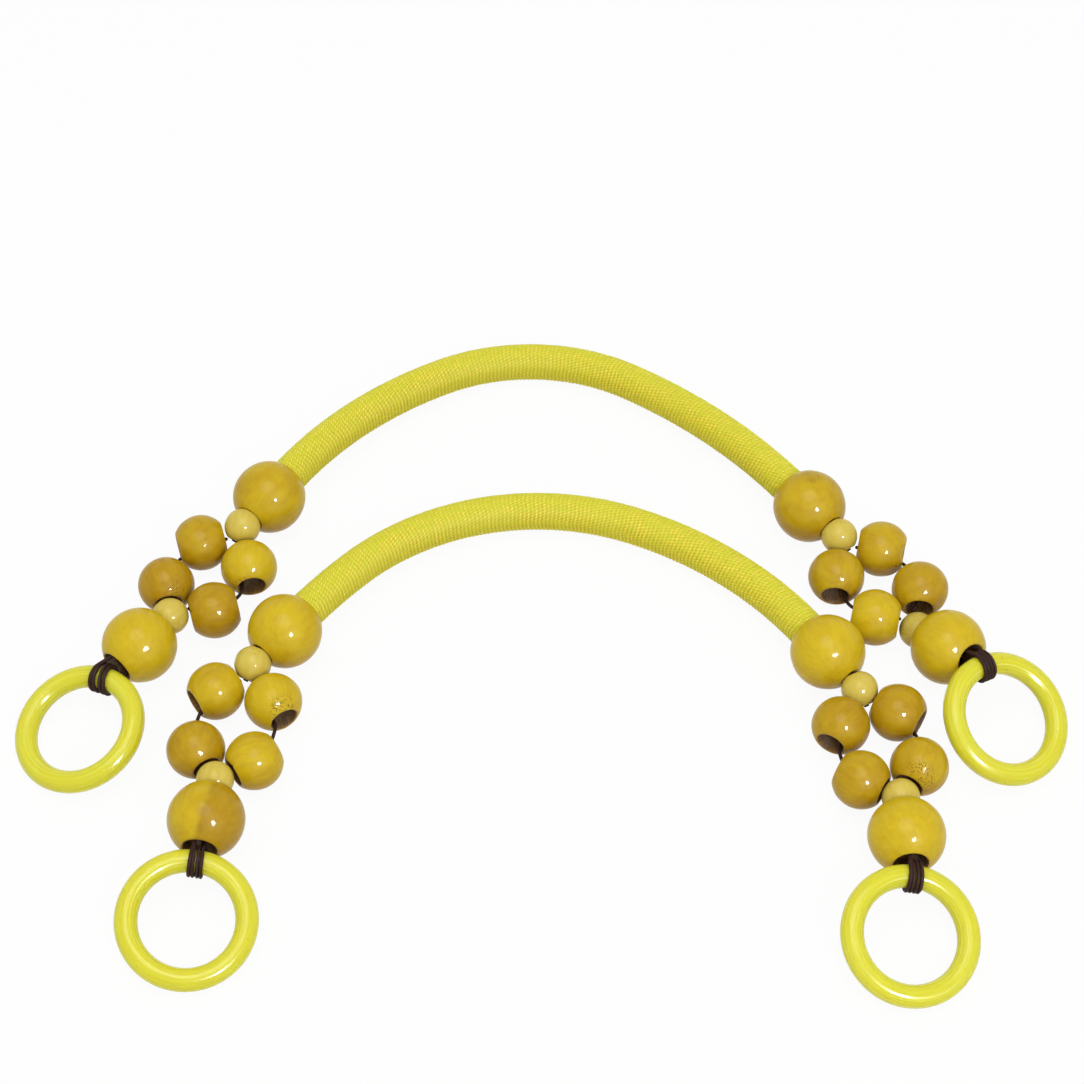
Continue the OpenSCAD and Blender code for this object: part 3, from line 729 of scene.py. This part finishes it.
def ring(end, seed):
    """Cast ring with slight lengthwise flats from polishing."""
    mount = next(m for m in frame["record"]["mounts"] if m["name"] == f"{end}_ring_eye")
    centre, axis = np.array(mount["pos_m"]) / MM, unit(mount["axis"])
    rng = np.random.RandomState(seed)
    u, v = circle(RING_ROWS)[:, None], circle(RING_COLS)[None, :]
    lost = np.zeros((RING_ROWS, RING_COLS))
    for _ in range(RING_FLATS):
        tilt = rng.uniform(0, TAU)
        depth = rng.uniform(*RING_FLAT_DEPTH)
        sway = RING_FLAT_SWAY * np.sin(u * rng.randint(1, 3) + rng.uniform(0, PHASE))
        away = np.cos(v - tilt - sway)
        lost = np.maximum(lost, np.clip(RING_R * away - (RING_R - depth), 0, None))
    waves = np.sin(2 * u + rng.uniform(0, PHASE)) * np.cos(v + rng.uniform(0, PHASE))
    lost = lost + RING_UNEVEN * (1 + waves) / 2
    r = RING_R - lost
    from_axis = RING_MID_R + r * np.cos(v)
    p = np.stack([from_axis * np.cos(u), from_axis * np.sin(u), r * np.sin(v)], axis=2).reshape(-1, 3)
    x, y = np.cos(v) * RING_LAY_ROUND, np.sin(v) * RING_LAY_ROUND
    lay = np.stack(np.broadcast_arrays(x, y, np.cos(u) * RING_LAY_ALONG + seed), axis=2)
    piece(f"{end}_ring_cast", centre + p @ basis(axis), grid_faces(RING_ROWS, RING_COLS, close_rows=True),
          [RESIN], f"{end}_ring", [f"{end}_ring"], {"lay": lay.reshape(-1, 3)})


camera = bpy.data.objects.new("camera", bpy.data.cameras.new("camera"))
scene.collection.objects.link(camera)
scene.camera = camera
camera.location = Vector((CAMERA_AIM + CAMERA_DISTANCE * TO_CAMERA) * MM)
camera.rotation_euler = (CAMERA_TILT, 0, 0)
camera.data.lens = CAMERA_LENS
camera.data.sensor_width = CAMERA_SENSOR
camera.data.sensor_height = CAMERA_SENSOR
camera.data.clip_start = CAMERA_CLIP * MM

# How far each bead's stain goes from yellow to orange
TONES = {
    "back_left": {
        "collar": 0.45, "near_outer": 0.68, "near_inner": 0.18, "far_outer": 0.88, "far_inner": 0.78,
        "ring": -0.2},
    "back_right": {
        "collar": 0.5, "near_outer": 0.58, "near_inner": 0.58, "far_outer": 0.68, "far_inner": 0.18,
        "ring": 0.0},
    "front_left": {
        "collar": 0.2, "near_outer": 0.38, "near_inner": 0.18, "far_outer": 0.68, "far_inner": 0.28,
        "ring": 0.3},
    "front_right": {
        "collar": 0.1, "near_outer": 0.73, "near_inner": 0.68, "far_outer": 0.58, "far_inner": 0.63,
        "ring": 0.1},
}
# Pitch within a pair of passes, pitch between the pairs, and how far they fan out over the ring
LASHINGS = {
    "back_left": (1.24, 2.1, 0.2), "back_right": (1.24, 1.28, 0.0),
    "front_left": (1.24, 1.45, 0.0), "front_right": (1.24, 1.4, 0.0),
}
# Flats seen in the photograph: direction and depth
CUTS = {
    "back_right_near_outer": [(facing(0.75, 0.15), 0.5), (facing(0.35, 0.8), 0.4)],
    "back_right_far_outer": [(facing(0.6, 0.55), 0.35)],
}
# Marks seen in the photograph: kind, direction, size and strength
MARKS = {
    "back_right_collar": [("knot", facing(0.02, -0.7), 1.2, 0.55)],
    "front_right_far_outer": [("pits", facing(-0.15, 0.35), 8.0, 1.0)],
    "front_left_near_inner": [("pits", facing(0.45, 0.2), 6.5, 1.0)],
    "back_left_far_outer": [("pits", facing(0.5, 0.2), 5.0, 0.5)],
    "front_left_ring": [("band", np.cross(facing(0.2, -0.85), facing(-0.1, 0.2)), 1.0, 0.35)],
}
# Points of a loop strand in a bead, in mm: along its bore, toward the loop's middle, and down
STRAND_POINTS = ((-6.5, 0.6, 0.4), (0.0, 2.4, 1.0), (8.3, 3.4, 1.4))


def knot(name, at, axis):
    """Three closed turns of cord round the doubled cord."""
    x, y, _ = basis(axis)
    a = np.linspace(0, TAU, KNOT_ROWS, endpoint=False)[:, None]
    r = CORD_STEP / 2 + 2 * CORD_R + SEAT_GAP
    turns = []
    for i in (-1, 0, 1):
        loop = at + r * (np.cos(a) * x + np.sin(a) * y) + i * axis
        turns.append(cord_tube(loop, CORD_R - KNOT_LESS_R, KNOT_SEED + i, hint=axis, closed=True))
    cords(f"{name}_knot_turns", turns, f"{name}_grip", [f"{name}_cord_knot"])


def handle(h, name):
    """Grip of a handle with its sleeve, cord, knot and collar beads."""
    grip = Grip(name)
    body = f"{name}_grip"
    nodes[f"{name}_grip_core"].data.materials.clear()
    nodes[f"{name}_grip_core"].data.materials.append(RUBBER)
    sleeve(name, grip, SLEEVE_SEED + h)
    first, last = (side * (grip.length(side) - GRIP_CORD_INSET) for side in (-1, 1))
    line = [grip.at(s) for s in np.linspace(first, last, GRIP_CORD_ROWS)]
    tubes = []
    for edge in (-1, 1):
        path = [point + edge * CORD_STEP / 2 * up for point, _, up in line]
        tubes.append(cord_tube(path, CORD_R, GRIP_CORD_SEED + h * 2 + edge))
    cords(f"{name}_grip_lace", tubes, body, [f"{name}_grip_cord"])
    for side, end in ((-1, f"{name}_left"), (1, f"{name}_right")):
        at, axis = grip.collar(side)
        mouth_r = CORD_MOUTH_R
        if side < 0:
            knot(name, at, axis)
            mouth_r = KNOT_MOUTH_R
        bead(f"{end}_collar_turned", at, axis, LARGE_R, mouth_r, NARROW_EDGE_R, body,
             COLLAR_SEED + ENDS.index(end), tone=TONES[end]["collar"], socket=True,
             cup=spot(f"{end}_chain_swing"), marks=MARKS.get(f"{end}_collar", ()), chips=0)


def spacer(end, e, row, at, axis):
    """Small pale bead and the doubled cord in it."""
    key = f"{end}_{row}_spacer"
    bead(f"{key}_turned", at, axis, SPACER_R, SPACER_BORE_R, NARROW_EDGE_R, key,
         SPACER_SEED + 2 * e + (row == "far"), chips=1, lacquer=PALE_WOOD)
    x, y, _ = basis(axis)
    half = math.sqrt(SPACER_R ** 2 - (CORD_STEP / 2 + CORD_R) ** 2)
    tubes = []
    for edge in (-1, 1):
        path = np.linspace(-half, half, SPACER_CORD_ROWS)[:, None] * axis + at + edge * CORD_STEP / 2 * y
        tubes.append(cord_tube(path, CORD_R, SPACER_CORD_SEED + e * 4 + edge, hint=x))
    cords(f"{key}_lace", tubes, key, [f"{key}_cord"])


def loop(end, e, near, far):
    """Four beads in a square, and the two strands through them."""
    centres = {}
    for row in ("near", "far"):
        for edge in ("outer", "inner"):
            key = f"{end}_{row}_{edge}"
            seed = LOOP_SEED + e * 4 + 2 * (row == "far") + (edge == "inner")
            centres[row, edge] = spot(f"{key}_spin")
            bead(f"{key}_turned", centres[row, edge], way(f"{key}_spin"), LOOP_R, LOOP_BORE_R, WIDE_EDGE_R,
                 key, seed, tone=TONES[end][f"{row}_{edge}"], cuts=CUTS.get(key, ()),
                 marks=MARKS.get(key, ()))
    middle = sum(centres.values()) / 4
    strands = []
    for edge in ("outer", "inner"):
        line = []
        for row, at in (("near", near), ("far", far)):
            centre, bore = centres[row, edge], way(f"{end}_{row}_{edge}_spin")
            inward = unit((middle - centre) - (middle - centre) @ bore * bore)
            half = [at + STRAND_START * unit(unit(middle - at) + unit(centre - at))]
            for along, aside, down in STRAND_POINTS:
                half.append(centre + along * bore + aside * inward - down * UP)
            line += half if row == "near" else half[::-1]
        path = smooth_line(line, STRAND_ROWS)
        strands.append(cord_tube(path, CORD_R + STRAND_EXTRA_R, STRAND_SEED + e * 2 + (edge == "inner")))
    cords(f"{end}_loop_lace", strands, f"{end}_loop", [f"{end}_loop_strands"])


def chain(e, end):
    """Bead chain from a collar bead to its ring."""
    side = 1 if "right" in end else -1
    near, far = spot(f"{end}_chain_swing"), spot(f"{end}_bead_swing")
    loop_way = unit(np.cross(UP, way(f"{end}_chain_fold")))
    ring_way = way(f"{end}_ring_bead_spin")
    collar_way = Grip(end.split("_")[0]).collar(side)[1]
    spacer(end, e, "near", near, unit(unit(collar_way + loop_way) - SPACER_SLOPE * UP))
    spacer(end, e, "far", far, unit(loop_way + ring_way))
    loop(end, e, near, far)
    bead(f"{end}_ring_turned", spot(f"{end}_ring_bead_spin"), ring_way, LARGE_R, LARGE_BORE_R, WIDE_EDGE_R,
         f"{end}_ring_bead", RING_BEAD_SEED + e, tone=TONES[end]["ring"],
         marks=MARKS.get(f"{end}_ring", ()))
    lashing(end, LASHING_SEED + e, *LASHINGS[end])
    ring(end, RING_SEED + e)


for h, name in enumerate(GRIPS):
    handle(h, name)
for e, end in enumerate(ENDS):
    chain(e, end)


def backdrop_share(tree):
    """1 for the rays that see the white backdrop, and 0 for those that light the part."""
    path = tree.nodes.new("ShaderNodeLightPath")
    total = path.outputs["Is Camera Ray"]
    for name in ("Is Glossy Ray", "Is Transmission Ray"):
        add = tree.nodes.new("ShaderNodeMath")
        add.operation = "MAXIMUM"
        tree.links.new(total, add.inputs[0])
        tree.links.new(path.outputs[name], add.inputs[1])
        total = add.outputs[0]
    return total


floor_mesh = bpy.data.meshes.new("floor")
corners = [(FLOOR_HALF * x, FLOOR_HALF * y, 0) for x, y in ((-1, -1), (1, -1), (1, 1), (-1, 1))]
floor_mesh.from_pydata(corners, [], [(0, 1, 2, 3)])
floor = bpy.data.objects.new("floor", floor_mesh)
scene.collection.objects.link(floor)
paper = Shade("floor_paper")
diffuse = paper.add("ShaderNodeBsdfDiffuse", {"Color": FLOOR_COLOUR})
glow = paper.add("ShaderNodeEmission", {"Color": WHITE, "Strength": 1.0})
seen = paper.math("MULTIPLY", backdrop_share(paper.tree), FLOOR_GLOW)
mixed = paper.add("ShaderNodeMixShader", {0: seen, 1: diffuse.outputs[0], 2: glow.outputs[0]})
paper.tree.links.new(mixed.outputs[0], paper.out.inputs["Surface"])
floor_mesh.materials.append(paper.material)

world = bpy.data.worlds.new("studio")
scene.world = world
world.use_nodes = True
tree = world.node_tree
tree.nodes.clear()
choose = tree.nodes.new("ShaderNodeMixShader")
tree.links.new(backdrop_share(tree), choose.inputs[0])
for socket, strength in ((1, SKY_STRENGTH), (2, 1.0)):
    light = tree.nodes.new("ShaderNodeBackground")
    light.inputs["Color"].default_value = WHITE
    light.inputs["Strength"].default_value = strength
    tree.links.new(light.outputs[0], choose.inputs[socket])
result = tree.nodes.new("ShaderNodeOutputWorld")
tree.links.new(choose.outputs[0], result.inputs["Surface"])


def lamp(name, place, size, power, lights=True, mirrored=True):
    """Round area lamp; it may only light the part, or only be mirrored in it."""
    data = bpy.data.lights.new(name, "AREA")
    data.shape = "DISK"
    data.size = size
    data.energy = power
    obj = bpy.data.objects.new(name, data)
    scene.collection.objects.link(obj)
    obj.location = place
    obj.visible_diffuse = lights
    obj.visible_glossy = mirrored
    obj.rotation_euler = (LAMP_AIM - Vector(place)).to_track_quat("-Z", "Y").to_euler()


lamp("key", (-0.12, -0.02, 1.6), size=1.2, power=12.0)
lamp("fill", (0.40, -0.74, 0.854), size=0.5, power=3.6, mirrored=False)
lamp("glint", (0.40, -0.74, 0.80), size=0.25, power=22.0, lights=False)
lamp("second_glint", (0.04, -0.16, 1.3), size=0.12, power=0.25)
